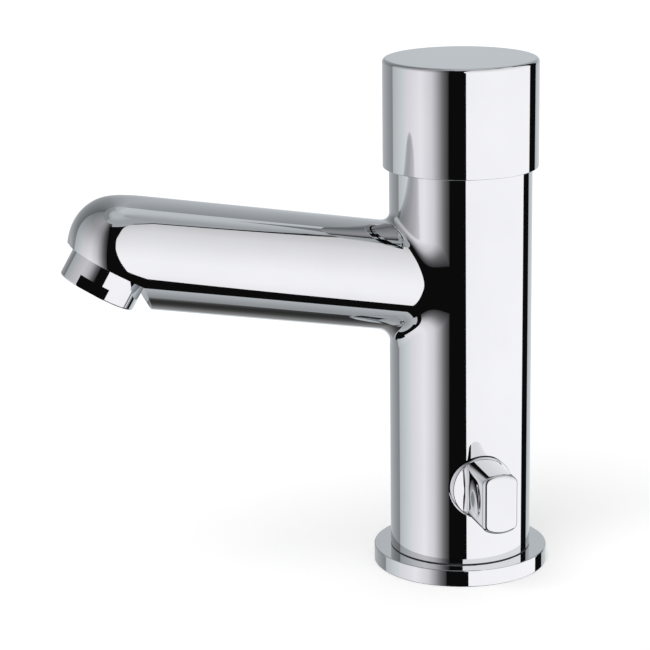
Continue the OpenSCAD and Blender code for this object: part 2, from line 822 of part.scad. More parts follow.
// Barrel-shaped cutter that leaves an oval dimple
module dimple() {
    translate([disc_x + knob_bar_len / 2, knob_bar_w / 2 - dimple_depth + dimple_equator_r, 0])
        rotate_extrude() intersection() {
            translate([dimple_equator_r - dimple_arc_r, 0]) circle(dimple_arc_r);
            translate([0, -dimple_arc_r]) square([dimple_equator_r, 2 * dimple_arc_r]);
        }
}

module temperature_knob() {
    color(chrome) difference() {
        on_knob() union() {
            rounded_blank(knob_r, knob_back_x, disc_x, knob_disc_edge_r);
            rounded_blank(knob_bar_r, knob_back_x, knob_front_x, knob_edge_r);
        }
        for (side = [0, 1])
            translate([0, 0, knob_z]) mirror([0, side, 0]) {
                bar_side();
                bar_front_waste();
                dimple();
                for (end = [0, 1])
                    mirror([0, 0, end]) bar_corner_waste();
            }
        on_knob() translate([0, 0, knob_back_x - cut])
            cylinder(r = spindle_r, h = disc_x + spindle_hold - knob_back_x + cut);
        translate([knob_screw_x, 0, knob_z - knob_r - cut]) cylinder(d = knob_screw_d, h = knob_r + cut);
    }
}

module knob_set_screw() {
    color(steel) translate([knob_screw_x, 0, knob_z - spindle_r - seat_fit]) rotate([180, 0, 0])
        set_screw(knob_screw_d - 2 * seat_fit, knob_screw_len);
}

module mixing_spindle() {
    color(brass) on_knob() translate([0, 0, gland_x - end_play - drum_head])
        cylinder(r = spindle_r, h = disc_x + spindle_hold - seat_fit - gland_x + end_play + drum_head);
}

module gland_bush() {
    color(brass) on_knob() difference() {
        translate([0, 0, gland_x]) cylinder(r = gland_r, h = gland_len);
        translate([0, 0, gland_x - cut]) cylinder(r = spindle_r + run_gap, h = gland_len + 2 * cut);
        translate([0, 0, gland_x + spindle_ring_at])
            ring(spindle_r + run_gap + 2 * spindle_ring_r, spindle_r - cut, 2 * spindle_ring_r);
        translate([0, 0, gland_x + gland_ring_at])
            ring(gland_r + cut, gland_r - 2 * gland_ring_r, 2 * gland_ring_r);
    }
}

module spindle_o_ring() {
    color(black_rubber) on_knob() translate([0, 0, gland_x + spindle_ring_at + spindle_ring_r])
        o_ring(spindle_r + run_gap + spindle_ring_r, spindle_ring_r - seat_fit / 2);
}

module gland_o_ring() {
    color(black_rubber) on_knob() translate([0, 0, gland_x + gland_ring_at + gland_ring_r])
        o_ring(gland_r - gland_ring_r, gland_ring_r - seat_fit / 2);
}

// Round port through the drum's wall, at an angle round the knob's axis
module drum_port(x, turn, r) {
    translate([x, 0, knob_z]) rotate([turn, 0, 0]) translate([0, 0, drum_r - drum_wall - end_play])
        cylinder(r = r, h = drum_wall + end_play + cut);
}

module mixing_drum() {
    color(grey_plastic) difference() {
        on_knob() translate([0, 0, drum_x]) cylinder(r = drum_r, h = drum_len);
        on_knob() translate([0, 0, drum_x - cut])
            cylinder(r = drum_r - drum_wall, h = drum_len - drum_head + cut);
        on_knob() translate([0, 0, drum_x]) cylinder(r = spindle_r, h = drum_len + cut);
        for (side = [-1, 1])
            drum_port(side * inlet_spacing / 2, 180 + side * port_turn, port_r);
        for (turn = [-1, 0, 1])
            drum_port(0, turn * 2 * port_turn, outlet_port_r);
    }
}

module aerator_ring() {
    color(chrome) on_outlet() difference() {
        rotate_extrude() polygon([
            [0, 0],
            [aerator_r, 0],
            [aerator_r, aerator_h - aerator_bevel],
            [aerator_r - aerator_bevel, aerator_h],
            [0, aerator_h]
        ]);
        translate([0, 0, -cut]) cylinder(r = nipple_r, h = collar_z + collar_h + cut);
        cylinder(r = lip_inner_r, h = aerator_h + cut);
        for (side = [0, 180])
            rotate(side + aerator_turn)
                translate([aerator_flats / 2, -aerator_r, aerator_h - aerator_flat_h])
                    cube([aerator_r, aerator_d, aerator_flat_h + cut]);
    }
}

module aerator_insert() {
    reach = grid_pitch * grid_count;
    color(white_plastic) on_outlet() difference() {
        union() {
            translate([0, 0, insert_z]) cylinder(r = insert_r, h = aerator_h - aerator_bevel - insert_z);
            translate([0, 0, collar_z]) cylinder(r = nipple_r - seat_fit, h = collar_h);
        }
        translate([0, 0, insert_z - cut])
            cylinder(r = insert_r - insert_wall, h = aerator_h - aerator_bevel - grid_h - insert_z + cut);
        for (x = [-reach:grid_pitch:reach], y = [-reach:grid_pitch:reach])
            if (norm([x, y]) + grid_hole / 2 < insert_r - insert_wall)
                translate([x - grid_hole / 2, y - grid_hole / 2, insert_z])
                    cube([grid_hole, grid_hole, aerator_h]);
    }
}

module aerator_screen() {
    color(steel) on_outlet() translate([0, 0, insert_z - screen_h])
        cylinder(r = insert_r, h = screen_h);
}

module aerator_washer() {
    color(black_rubber) on_outlet() translate([0, 0, nipple_h])
        ring(nipple_r - seat_fit, washer_hole_r, washer_h);
}

tap_body();
base_flange();
base_gasket();
guide_ring();
push_cap();
cap_core();
cap_set_screw();
plunger_stem();
return_spring();
head_nut();
stem_seal();
cartridge_sleeve();
sleeve_o_ring();
seat_o_ring();
timing_piston();
lip_seal();
piston_clip();
timing_screw();
valve_seat();
valve_washer();
washer_nut();
temperature_knob();
knob_set_screw();
mixing_spindle();
gland_bush();
spindle_o_ring();
gland_o_ring();
mixing_drum();
aerator_ring();
aerator_insert();
aerator_screen();
aerator_washer();
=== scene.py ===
"""Dresses the push timed tap: fine chrome forms, a material for every piece, and a studio."""

import json
import math

import bmesh
import bpy
import numpy as np
from mathutils import Matrix, Vector
from mathutils.geometry import delaunay_2d_cdt
from mathutils.kdtree import KDTree


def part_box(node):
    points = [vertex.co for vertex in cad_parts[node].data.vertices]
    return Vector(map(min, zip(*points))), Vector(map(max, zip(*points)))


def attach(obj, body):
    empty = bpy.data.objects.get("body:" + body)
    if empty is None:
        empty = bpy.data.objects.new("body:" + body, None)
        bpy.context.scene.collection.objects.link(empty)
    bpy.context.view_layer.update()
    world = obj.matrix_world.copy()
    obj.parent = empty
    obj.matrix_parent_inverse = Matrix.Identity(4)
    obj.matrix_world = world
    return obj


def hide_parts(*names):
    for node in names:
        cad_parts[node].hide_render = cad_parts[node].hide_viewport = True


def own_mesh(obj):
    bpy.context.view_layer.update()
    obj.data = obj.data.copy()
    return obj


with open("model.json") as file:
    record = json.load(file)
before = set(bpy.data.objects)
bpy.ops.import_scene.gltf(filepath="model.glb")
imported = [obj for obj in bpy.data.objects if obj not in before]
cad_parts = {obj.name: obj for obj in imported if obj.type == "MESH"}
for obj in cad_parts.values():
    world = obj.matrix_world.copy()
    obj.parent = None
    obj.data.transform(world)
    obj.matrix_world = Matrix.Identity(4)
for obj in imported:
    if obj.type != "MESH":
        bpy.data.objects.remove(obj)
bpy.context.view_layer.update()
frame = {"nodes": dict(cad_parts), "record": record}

# Shapes are worked out in millimetres and scaled to metres when a piece is settled
MM = 0.001
MM_DIGITS = 3
UP = Vector((0, 0, 1))


def box_mm(node):
    """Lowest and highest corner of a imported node, in millimetres."""
    low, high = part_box(node)
    return [round(c / MM, MM_DIGITS) for c in low], [round(c / MM, MM_DIGITS) for c in high]


# Column, base, cap and knob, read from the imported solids
BODY_LOW, BODY_HIGH = box_mm("tap_body")
_, FLANGE_HIGH = box_mm("base_flange")
CAP_LOW, CAP_HIGH = box_mm("push_cap")
KNOB_LOW, KNOB_HIGH = box_mm("temperature_knob")
COLUMN_R = BODY_HIGH[0]
BODY_TOP = BODY_HIGH[2]
SPIGOT_Z = BODY_LOW[2]
FLANGE_R = FLANGE_HIGH[0]
FLANGE_H = FLANGE_HIGH[2]
CAP_R = CAP_HIGH[0]
CAP_Z = CAP_LOW[2]
CAP_TOP = CAP_HIGH[2]
KNOB_R = KNOB_HIGH[1]
KNOB_Z = (KNOB_LOW[2] + KNOB_HIGH[2]) / 2
KNOB_BACK = KNOB_LOW[0]
KNOB_FRONT = KNOB_HIGH[0]

# Column, with its bevelled foot, the spigot under it and the guide ring's groove
SEAM_BEVEL = 0.35
# Section radius of the thin black ring in the foot's seam, which is painted shade
SEAM_SHADE_R = 0.16
SPIGOT_STEP = 3.5
SPIGOT_R = COLUMN_R - SPIGOT_STEP
GUIDE_DEPTH = 1.2
GUIDE_H = 4.0
GUIDE_Z = BODY_TOP - 2 * GUIDE_DEPTH - GUIDE_H
TOP_BEVEL = 0.8

# Base flange and its gasket groove
SPIGOT_FIT = 0.05
FLANGE_BORE_R = SPIGOT_R + SPIGOT_FIT
FLANGE_EDGE = 0.3
GASKET_MID_R = (FLANGE_BORE_R + FLANGE_R) / 2
GASKET_W = 4.0
GASKET_H = 1.6

# Push cap
CAP_GAP = 0.35
CAP_IN_R = COLUMN_R + CAP_GAP
CAP_ROOF = 2.5
CAP_EDGE_R = 1.2
CAP_LIP_R = 0.2
CAP_SCREW_R = 2.0
CAP_SCREW_DROP = 2.25
CAP_SCREW_DEPTH = 5.0
CAP_SCREW_Z = CAP_TOP - CAP_ROOF - CAP_SCREW_DROP

# Spout
SPOUT_R = 16.75
SPOUT_Z = 90.4
SPOUT_RISE = math.radians(9.4)
SPOUT_LEN = 123.2
NOSE_R = 13.7
# Arcs that ease the nose into the spout's side: their radii, and their slopes at the end, in degrees
NOSE_ARCS = ((90.0, 4), (30.0, 12), (NOSE_R, 90))

# Blend at the spout's root: its reach along the spout, then how far it spreads on the column
BLEND_LEG_TOP = 3.6
BLEND_LEG_SIDE = 5.0
BLEND_LEG_BOTTOM = 7.0
BLEND_RISE = 3.6
BLEND_DROP = 6.5
BLEND_WIDENING = 3.3
BLEND_SPREAD_UP = 36.0
BLEND_SPREAD_DOWN = 22.0
BLEND_SPREAD_FADE = 8

# Outlet, with its spot-faced seat, threaded nipple and screwed ring
OUTLET_TILT = math.radians(29.9)
OUTLET_SETBACK = 13.0
OUTLET_AT = SPOUT_LEN - OUTLET_SETBACK
OUTLET_DROP = 4.7
SPOT_R = 17.2
NIPPLE_R = 10.9
NIPPLE_H = 5.0
OUTLET_BORE_R = 8.5
RING_R = 12.0
RING_H = 9.0
RING_FLATS = 22.0
RING_FLAT_H = 3.6
RING_TURN = math.radians(23)
RING_EDGE = 0.5
RING_LIP_R = 9.2
RING_COLLAR_Z = 7.2

# Temperature knob and its recess in the column
DISC_PROUD = 1.3
DISC_X = COLUMN_R + DISC_PROUD
DISC_EDGE_R = 0.5
DISC_FALL = 0.4
# Share of the disc's face that stays close to its rim and to the bar's foot, to keep their edges tight
DISC_HOLD = 0.03
BAR_R = 9.45
BAR_HALF_W = 5.5
BAR_CORNER_R = 2.5
BAR_EDGE_R = 1.3
BAR_FOOT_R = 1.0
BAR_FOOT_FADE = 4
BAR_FRONT_INSET = 0.05
DIMPLE_DEPTH = 0.8
DIMPLE_LEN = 11.0
DIMPLE_H = 12.4
DIMPLE_FADE = 1.5
RECESS_DEPTH = 3.7
RECESS_GAP = 0.3
RECESS_X = COLUMN_R - RECESS_DEPTH
RECESS_R = KNOB_R + RECESS_GAP
SPINDLE_R = 4.0
SPINDLE_HOLD = 8.0
KNOB_SCREW_R = 2.0

# Waterways and seats inside the body
HOSE_SPACE_R = 16.8
HOSE_SPACE_H = 14.0
INLET_X = 8.0
INLET_R = 4.5
INLET_DEPTH = 7.0
PORT_R = 2.8
STUD_Y = 12.5
STUD_R = 2.5
STUD_DEPTH = 9.0
GLAND_DEPTH = 8.0
GLAND_X = RECESS_X - GLAND_DEPTH
GLAND_R = 9.0
MIXING_X = -13.3
MIXING_R = 7.96
RISER_R = 4.5
CHAMBER_Z = 50.0
CHAMBER_R = 10.5
SHOULDER_Z = 70.0
COLUMN_WALL = 5.0
BORE_R = COLUMN_R - COLUMN_WALL
SPOUT_WALL = 3.3
WATERWAY_R = SPOUT_R - SPOUT_WALL
THROAT_LEAD = 8.0
WATERWAY_END = OUTLET_AT - SPOT_R - THROAT_LEAD
THROAT_RIM = 0.5
THROAT_R = OUTLET_BORE_R + THROAT_RIM
THROAT_LIFT = 3.0
THROAT_PAST = 2.0
THROAT_END = SPOUT_LEN - NOSE_R + THROAT_PAST

# Return spring, from the head nut's floor to the cap's core
SPRING_LOW = 137.0
SPRING_HIGH = 153.4
SPRING_R = 9.7
SPRING_TURNS = 4.25
SPRING_GAP = 0.05
WIRE_R = 0.8

# How fine the forms are: points in a full turn
AROUND = 240
SPOUT_AROUND = 480
CUTTER_AROUND = 96
SPRING_AROUND = 48
WIRE_AROUND = 16
# Steps in a stretch, then the nose's step in degrees and the wall's in millimetres
EDGE_STEPS = 8
BLEND_STEPS = 32
BAR_FLAT_STEPS = 48
BAR_SIDE_STEPS = 40
NOSE_STEP = 3.0
WALL_STEP = 6.0
# Least distance of the wall's own points from the blend's outline, and the distance that merges corners
WALL_CLEARANCE = 0.5
WALL_MERGE = 1e-5
# Overshoot of a cut past the face that it opens
CUT = 1.0
# Distances at which points are welded and thin faces are dissolved
WELD = 0.002
THIN = 0.0005
# How near its true surface a face has to lie, and how well it has to face that way, to take its normals
ON_SURFACE = 0.004
FACING = 0.8
# Angles up to which the knob and the spring shade smoothly across an edge
KNOB_SMOOTH = math.radians(32)
SPRING_SMOOTH = math.radians(40)
# Keeps a division by a distance from failing on an axis
TINY = 1e-9

SPOUT_PLACE = Matrix.Translation((0, 0, SPOUT_Z)) @ Matrix.Rotation(math.pi / 2 - SPOUT_RISE, 4, "X")
OUTLET_PLACE = (
    SPOUT_PLACE
    @ Matrix.Translation((0, -OUTLET_DROP, OUTLET_AT))
    @ Matrix.Rotation(math.pi / 2 - OUTLET_TILT + SPOUT_RISE, 4, "X")
)
KNOB_PLACE = Matrix.Translation((0, 0, KNOB_Z)) @ Matrix.Rotation(math.pi / 2, 4, "Y")
UPRIGHT = Matrix()


# Building meshes

def arc(centre, radius, start, end, steps=EDGE_STEPS):
    """Points of an arc in a plane, both ends included. Angles are in degrees."""
    turns = [math.radians(start + (end - start) * k / steps) for k in range(steps + 1)]
    return [(centre[0] + radius * math.cos(t), centre[1] + radius * math.sin(t)) for t in turns]


def add_object(name, data):
    """A new object in the scene."""
    added = bpy.data.objects.new(name, data)
    bpy.context.scene.collection.objects.link(added)
    return added


def new_mesh(name, points, faces):
    """A mesh from points and faces, as they are."""
    mesh = bpy.data.meshes.new(name)
    mesh.from_pydata([tuple(p) for p in points], [], faces)
    return mesh


def new_piece(name, points, faces):
    """A mesh object from points in millimetres, with points that fall together welded."""
    mesh = new_mesh(name, points, faces)
    work = bmesh.new()
    work.from_mesh(mesh)
    bmesh.ops.remove_doubles(work, verts=work.verts, dist=WELD)
    bmesh.ops.dissolve_degenerate(work, edges=work.edges, dist=THIN)
    work.to_mesh(mesh)
    work.free()
    return add_object(name, mesh)


def turned(profile, place=UPRIGHT, ring=False, count=AROUND):
    """Points and faces of a profile of (radius, height) turned about an axis. A ring's profile is closed."""
    points = []
    for k in range(count):
        turn = 2 * math.pi * k / count
        across = Vector((math.cos(turn), math.sin(turn), 0))
        points += [place @ (across * r + UP * h) for r, h in profile]
    row = len(profile)
    faces = []
    for k in range(count):
        here = k * row
        after = (k + 1) % count * row
        for j in range(row if ring else row - 1):
            up = (j + 1) % row
            faces.append((here + j, after + j, after + up, here + up))
    return points, faces


def strips(rows, closed=True):
    """Points and faces between neighbouring rows of as many points each."""
    row = len(rows[0])
    points = [p for points_in_row in rows for p in points_in_row]
    faces = [
        (i * row + k, i * row + (k + 1) % row, (i + 1) * row + (k + 1) % row, (i + 1) * row + k)
        for i in range(len(rows) - 1)
        for k in range(row if closed else row - 1)
    ]
    return points, faces


def joined(parts):
    """Several lists of points and faces as one."""
    points, faces = [], []
    for more_points, more_faces in parts:
        base = len(points)
        points += more_points
        faces += [tuple(base + i for i in f) for f in more_faces]
    return points, faces


def rod(place, radius, low, high, count=CUTTER_AROUND):
    """A closed cylinder for carving, along the local Z axis of a place."""
    profile = [(0, low), (radius, low), (radius, high), (0, high)]
    return new_piece("cutter", *turned(profile, place, count=count))


def carve(piece, cutter, operation="DIFFERENCE"):
    """Cuts or adds a closed cutter, which is used up."""
    modifier = piece.modifiers.new("carve", "BOOLEAN")
    modifier.operation = operation
    modifier.solver = "MANIFOLD"
    modifier.object = cutter
    graph = bpy.context.evaluated_depsgraph_get()
    result = bpy.data.meshes.new_from_object(piece.evaluated_get(graph))
    piece.modifiers.clear()
    piece.data = result
    bpy.data.objects.remove(cutter)


# True surface normals, so that chrome reflects without facets

def about_axis(place, points):
    """Points in the local axes of a place, their distances from its Z axis, and those axes."""
    axes = np.array(place.to_3x3())
    local = (points - np.array(place.translation)) @ axes
    return local, np.maximum(np.hypot(local[:, 0], local[:, 1]), TINY), axes


def round_wall(place, radius):
    """Distance from a round wall about the local Z axis of a place, and its normals."""
    def measure(points):
        local, reach, axes = about_axis(place, points)
        out = np.stack([local[:, 0] / reach, local[:, 1] / reach, np.zeros(len(local))], 1)
        return reach - radius, out @ axes.T

    return measure


def round_edge(place, ring_r, height, radius):
    """Distance from a rounded edge turned about the local Z axis of a place, and its normals."""
    def measure(points):
        local, reach, axes = about_axis(place, points)
        out_r = reach - ring_r
        out_h = local[:, 2] - height
        size = np.maximum(np.hypot(out_r, out_h), TINY)
        scale = out_r / size / reach
        out = np.stack([local[:, 0] * scale, local[:, 1] * scale, out_h / size], 1)
        return size - radius, out @ axes.T

    return measure


def known_points(known, normals):
    """Distance from the nearest of some points whose normals are known, and that normal."""
    tree = KDTree(len(known))
    for k, p in enumerate(known):
        tree.insert(p, k)
    tree.balance()

    def measure(points):
        found = [tree.find(p) for p in points]
        distances = np.array([distance for _, _, distance in found])
        return distances, np.array([normals[index] for _, index, _ in found])

    return measure


def read_all(items, field, width=1, kind=float):
    """All values of one field of a mesh's items, in rows where a value has a width."""
    values = np.empty(len(items) * width, kind)
    items.foreach_get(field, values)
    return values.reshape(-1, width) if width > 1 else values


def shade(piece, surfaces):
    """Gives each face the normals of the true surface that it lies on, or else its own flat normal."""
    mesh = piece.data
    mesh.shade_smooth()
    points = read_all(mesh.vertices, "co", 3)
    corner = read_all(mesh.loops, "vertex_index", kind=int)
    start = read_all(mesh.polygons, "loop_start", kind=int)
    total = read_all(mesh.polygons, "loop_total", kind=int)
    face = np.repeat(np.arange(len(total)), total)
    flat = read_all(mesh.polygons, "normal", 3)[face]
    normals = flat.copy()
    best = np.full(len(total), ON_SURFACE)
    for surface in surfaces:
        distance, out = surface(points)
        worst = np.maximum.reduceat(np.abs(distance)[corner], start)
        along = (out[corner] * flat).sum(1)
        agree = np.add.reduceat(along, start) / total
        chosen = (worst < best) & (np.abs(agree) > FACING)
        best = np.where(chosen, worst, best)
        side = np.sign(agree)[face][:, None]
        normals = np.where(chosen[face][:, None], side * out[corner], normals)
    mesh.normals_split_custom_set(normals)


def settle(piece, name, body, slot, material, *nodes):
    """Scales a finished piece to metres and hands it to its body, with a material, in place of its nodes."""
    piece.name = name
    piece.data.name = name
    piece.data.transform(Matrix.Scale(MM, 4))
    piece.data.materials.clear()
    piece.data.materials.append(material)
    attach(piece, body)
    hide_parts(*nodes)


# Materials

# The part of a noise field's range that most of its values fall in
NOISE_LOW = 0.3
NOISE_HIGH = 0.7


def new_material(name):
    """A node material, its node tree and its shader."""
    material = bpy.data.materials.new(name)
    material.use_nodes = True
    tree = material.node_tree
    shader = tree.nodes["Principled BSDF"]
    return material, tree, shader


def noise(tree, scale, detail, stretch=(1, 1, 1)):
    """A noise field in the object's own coordinates, in metres."""
    place = tree.nodes.new("ShaderNodeTexCoord")
    mapping = tree.nodes.new("ShaderNodeMapping")
    mapping.inputs["Scale"].default_value = stretch
    field = tree.nodes.new("ShaderNodeTexNoise")
    field.inputs["Scale"].default_value = scale
    field.inputs["Detail"].default_value = detail
    tree.links.new(place.outputs["Object"], mapping.inputs["Vector"])
    tree.links.new(mapping.outputs["Vector"], field.inputs["Vector"])
    return field.outputs["Fac"]


def spread(tree, field, low, high, socket):
    """Drives a shader's number between two values with a noise field."""
    ramp = tree.nodes.new("ShaderNodeMapRange")
    ramp.inputs["From Min"].default_value = NOISE_LOW
    ramp.inputs["From Max"].default_value = NOISE_HIGH
    ramp.inputs["To Min"].default_value = low
    ramp.inputs["To Max"].default_value = high
    tree.links.new(field, ramp.inputs["Value"])
    tree.links.new(ramp.outputs["Result"], socket)


def tint(tree, field, low, high, socket):
    """Drives a shader's colour between two colours with a noise field."""
    ramp = tree.nodes.new("ShaderNodeValToRGB")
    ramp.color_ramp.elements[0].position = NOISE_LOW
    ramp.color_ramp.elements[0].color = (*low, 1)
    ramp.color_ramp.elements[1].position = NOISE_HIGH
    ramp.color_ramp.elements[1].color = (*high, 1)
    tree.links.new(field, ramp.inputs["Fac"])
    tree.links.new(ramp.outputs["Color"], socket)


def bump(tree, field, distance, shader):
    """Raises a surface by a noise field, by that many metres."""
    node = tree.nodes.new("ShaderNodeBump")
    node.inputs["Distance"].default_value = distance
    tree.links.new(field, node.inputs["Height"])
    tree.links.new(node.outputs["Normal"], shader.inputs["Normal"])


def math_node(tree, operation):
    """A node that works out one operation on two numbers."""
    node = tree.nodes.new("ShaderNodeMath")
    node.operation = operation
    return node


def chrome_plate():
    """Mirror chrome with the faint haze that polishing leaves."""
    material, tree, shader = new_material("chrome_plate")
    shader.inputs["Metallic"].default_value = 1
    clouds = noise(tree, scale=40, detail=3)
    tint(tree, clouds, (0.815, 0.82, 0.835), (0.845, 0.85, 0.86), shader.inputs["Base Color"])
    haze = noise(tree, scale=220, detail=4)
    spread(tree, haze, 0.015, 0.04, shader.inputs["Roughness"])
    return material


# How far the roughness of metal and of moulded pieces strays either way, and the rings' depth in metres
METAL_STRAY = 0.08
MOULDED_STRAY = 0.06
RING_DEPTH = 0.00001


def turned_metal(name, low, high, rough):
    """Turned or drawn metal with fine rings and a satin sheen."""
    material, tree, shader = new_material(name)
    shader.inputs["Metallic"].default_value = 1
    rings = noise(tree, scale=900, detail=3, stretch=(0.1, 0.1, 6))
    clouds = noise(tree, scale=120, detail=3)
    tint(tree, clouds, low, high, shader.inputs["Base Color"])
    spread(tree, rings, rough - METAL_STRAY, rough + METAL_STRAY, shader.inputs["Roughness"])
    bump(tree, rings, RING_DEPTH, shader)
    return material


def moulded(name, low, high, rough, grain):
    """Moulded plastic or rubber with a fine even grain."""
    material, tree, shader = new_material(name)
    field = noise(tree, scale=1800, detail=3)
    clouds = noise(tree, scale=150, detail=3)
    tint(tree, clouds, low, high, shader.inputs["Base Color"])
    spread(tree, field, rough - MOULDED_STRAY, rough + MOULDED_STRAY, shader.inputs["Roughness"])
    bump(tree, field, grain, shader)
    return material


# Chrome forms

def spout_out(angle):
    """Direction across the spout at an angle round its axis."""
    sine = math.sin(angle)
    return Vector((math.cos(angle), sine * math.sin(SPOUT_RISE), sine * math.cos(SPOUT_RISE)))


def saddle(angle, from_spout, from_column):
    """Point at those distances from the spout's and the column's axes, at an angle round the spout."""
    x = from_spout * math.cos(angle)
    y = -math.sqrt(from_column ** 2 - x ** 2)
    over = from_spout * math.sin(angle)
    along = (over * math.sin(SPOUT_RISE) - y) / math.cos(SPOUT_RISE)
    return Vector((x, y, SPOUT_Z + along * math.sin(SPOUT_RISE) + over * math.cos(SPOUT_RISE)))


def blend_curve(angle):
    """Points of the blend from the column to the spout at an angle round the spout, tangent to both."""
    sine = math.sin(angle)
    cosine = math.cos(angle)
    axis = SPOUT_PLACE.to_3x3() @ UP
    pole_leg = BLEND_LEG_TOP if sine > 0 else BLEND_LEG_BOTTOM
    leg = BLEND_LEG_SIDE + (pole_leg - BLEND_LEG_SIDE) * sine ** 2
    start = saddle(angle, SPOUT_R, COLUMN_R) + axis * leg
    pole = BLEND_RISE if sine > 0 else BLEND_DROP
    flare = BLEND_SPREAD_UP if sine > 0 else BLEND_SPREAD_DOWN
    x = SPOUT_R * cosine + BLEND_WIDENING * cosine ** 3
    y = -math.sqrt(COLUMN_R ** 2 - x ** 2)
    over = (
        SPOUT_R * sine / math.cos(SPOUT_RISE)
        + pole * sine ** 3
        + flare * sine * cosine ** BLEND_SPREAD_FADE
    )
    end = Vector((x, y, SPOUT_Z - y * math.tan(SPOUT_RISE) + over))
    column_out = Vector((x, y, 0)) / COLUMN_R
    corner = start + axis * ((end - start).dot(column_out) / axis.dot(column_out))
    shares = [k / BLEND_STEPS for k in range(BLEND_STEPS + 1)]
    return [end * (1 - u) ** 2 + corner * (2 * u * (1 - u)) + start * u ** 2 for u in shares]


def blend_normals(rows, angles):
    """Outward normals of the blend's rows of points, exact on the column and on the spout."""
    grid = np.array(rows)
    along = np.roll(grid, -1, 1) - np.roll(grid, 1, 1)
    across = np.gradient(grid, axis=0)
    normals = np.cross(along, across)
    normals /= np.linalg.norm(normals, axis=2, keepdims=True)
    normals[0] = grid[0] * (1, 1, 0) / COLUMN_R
    normals[-1] = [spout_out(angle) for angle in angles]
    middle = BLEND_STEPS // 2
    facing = (normals[middle] * (normals[0] + normals[-1])).sum(1).mean()
    normals[1:-1] *= np.sign(facing)
    return normals


def column_wall(low, high, hole):
    """Triangles of the column's wall, unrolled flat, with the blend's outline left open."""
    rows = max(2, round((high - low) / WALL_STEP))
    seam = math.pi / 2
    flat = [
        (COLUMN_R * (seam - 2 * math.pi * (1 - k / AROUND)), low + (high - low) * j / rows)
        for k in range(AROUND + 1)
        for j in range(rows + 1)
    ]
    edge = [(COLUMN_R * math.atan2(p.y, p.x), p.z) for p in hole]
    clear = [f for f in flat if min(math.dist(f, e) for e in edge) > WALL_CLEARANCE]
    first = len(clear)
    outline = list(range(first, first + len(edge)))
    corners = [Vector(p) for p in clear + edge]
    made, _, triangles, _, _, origins = delaunay_2d_cdt(corners, [], [outline], 0, WALL_MERGE)
    turns = [(v.x / COLUMN_R, v.y) for v in made]
    points = [Vector((COLUMN_R * math.cos(t), COLUMN_R * math.sin(t), z)) for t, z in turns]
    faces = [f for f, inside in zip(triangles, origins) if not inside]
    return points, faces


def nose_bends():
    """Ring radius, place along the spout, radius, first and last slope of each arc of the nose."""
    length = NOSE_R
    for (wide, slope), (tight, _) in zip(NOSE_ARCS, NOSE_ARCS[1:]):
        length += (wide - tight) * math.sin(math.radians(slope))
    ring = SPOUT_R - NOSE_ARCS[0][0]
    at = SPOUT_LEN - length
    start = 0
    bends = []
    for k, (radius, slope) in enumerate(NOSE_ARCS):
        bends.append((ring, at, radius, start, slope))
        if slope < 90:
            shrink = radius - NOSE_ARCS[k + 1][0]
            ring += shrink * math.cos(math.radians(slope))
            at += shrink * math.sin(math.radians(slope))
        start = slope
    return bends


def body_skin():
    """Closed outer skin of the column, the blend and the spout, and the surface of the blend."""
    angles = [2 * math.pi * k / SPOUT_AROUND for k in range(SPOUT_AROUND)]
    curves = [blend_curve(angle) for angle in angles]
    blend_rows = [list(row) for row in zip(*curves)]
    hole = blend_rows[0]
    bends = nose_bends()
    nose = [(SPOUT_R, bends[0][1])]
    for ring, at, radius, first, last in bends:
        steps = max(EDGE_STEPS, round((last - first) / NOSE_STEP))
        nose += arc((ring, at), radius, first, last, steps)[1:]
    axis = SPOUT_PLACE.to_3x3() @ UP
    start = SPOUT_PLACE.translation
    spout_rows = [blend_rows[-1]]
    for r, t in nose + [(0, SPOUT_LEN)]:
        spout_rows.append([start + spout_out(angle) * r + axis * t for angle in angles])
    wall_low = FLANGE_H + SEAM_BEVEL
    foot = [
        (0, SPIGOT_Z),
        (SPIGOT_R, SPIGOT_Z),
        (SPIGOT_R, FLANGE_H),
        (COLUMN_R - SEAM_BEVEL, FLANGE_H),
        (COLUMN_R, wall_low),
    ]
    head = [
        (COLUMN_R, GUIDE_Z),
        (COLUMN_R - GUIDE_DEPTH, GUIDE_Z),
        (COLUMN_R - GUIDE_DEPTH, GUIDE_Z + GUIDE_H),
        (COLUMN_R, GUIDE_Z + GUIDE_H),
        (COLUMN_R, BODY_TOP - TOP_BEVEL),
        (COLUMN_R - TOP_BEVEL, BODY_TOP),
        (0, BODY_TOP),
    ]
    skin = joined([
        turned(foot),
        column_wall(wall_low, GUIDE_Z, hole),
        turned(head),
        strips(blend_rows),
        strips(spout_rows),
    ])
    normals = blend_normals(blend_rows, angles)
    blend_surface = known_points([p for row in blend_rows for p in row], normals.reshape(-1, 3))
    return skin, blend_surface


